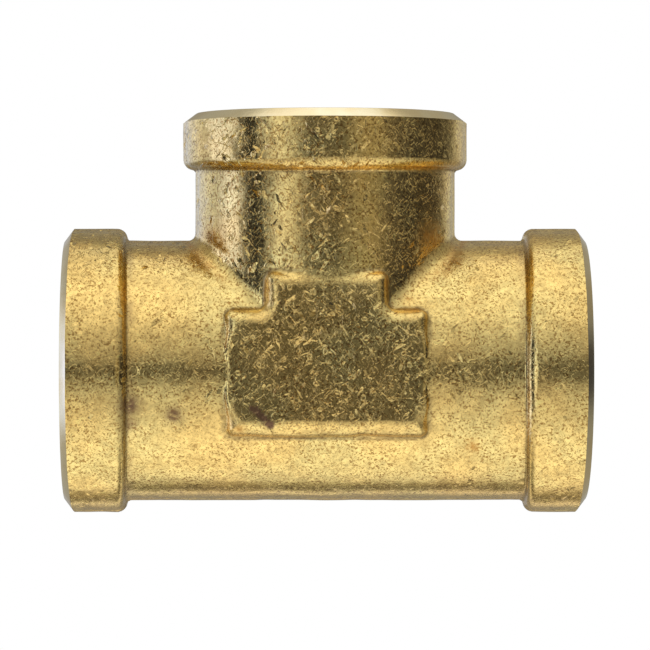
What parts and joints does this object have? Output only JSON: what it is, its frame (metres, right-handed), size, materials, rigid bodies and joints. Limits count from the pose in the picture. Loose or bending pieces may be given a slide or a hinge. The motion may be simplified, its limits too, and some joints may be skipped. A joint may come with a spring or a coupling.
{
  "type": "pipe tee fitting",
  "caption": "Forged brass pipe tee: two threaded female ports in line and one square to them, raised collars, and T-shaped flats front and back.",
  "frame": {"origin": "where the run axis and the branch axis cross, on the forging's parting plane", "axes": "+X along the run to the right port, +Z along the branch to its port, -Y out of the front pad"},
  "size_m": [0.0534, 0.0288, 0.041],
  "materials": {
    "forged_brass": "as-forged skin with machined port ends"
  },
  "bodies": {
    "root": {"tee_body": "forged_brass"}
  },
  "joints": []
}
